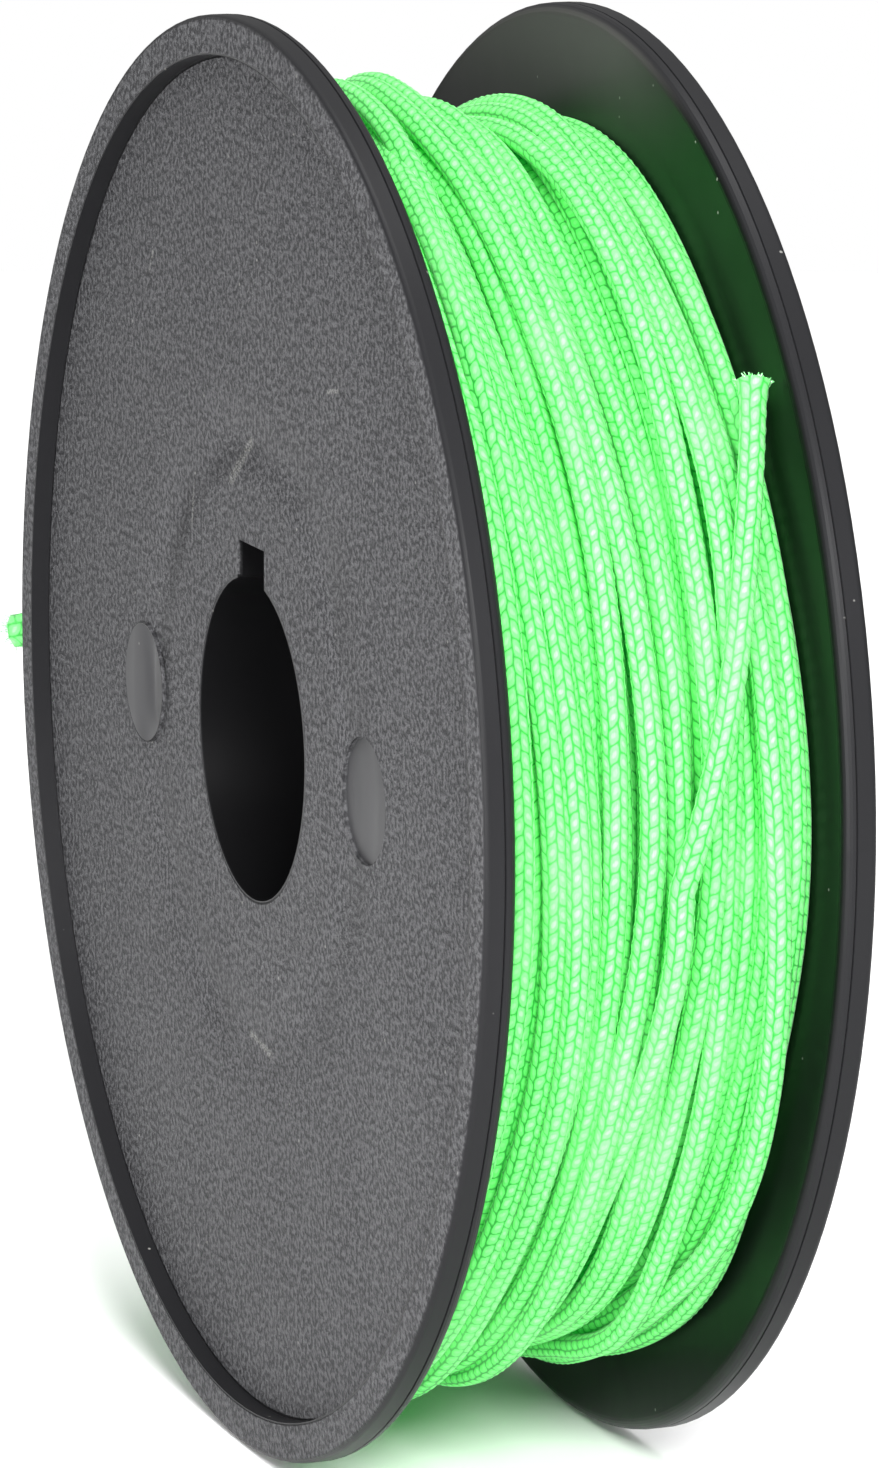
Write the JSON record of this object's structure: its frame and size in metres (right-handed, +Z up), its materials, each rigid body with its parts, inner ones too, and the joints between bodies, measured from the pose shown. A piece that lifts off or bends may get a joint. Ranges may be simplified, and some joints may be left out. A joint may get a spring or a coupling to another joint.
{
  "type": "fishing line spool",
  "caption": "Moulded plastic spool with two round flanges and a keyed axle bore, wound full of braided line with both cut ends loose.",
  "frame": {"origin": "centre of the axle bore, half way between the two rims", "axes": "+Y along the axle from the front flange to the back flange, +Z up through the keyway, +X to the side that the cut tail lies on"},
  "size_m": [0.0756, 0.0202, 0.072],
  "materials": {
    "spool_plastic": "black, fine spark-eroded grain on the outer faces, smooth on the rims and inner faces",
    "line_braid": "neon green round braid with a slight sheen"
  },
  "bodies": {
    "root": {"spool_body": "spool_plastic", "line_coil": "line_braid", "line_tail": "line_braid", "line_start": "line_braid"}
  },
  "joints": []
}
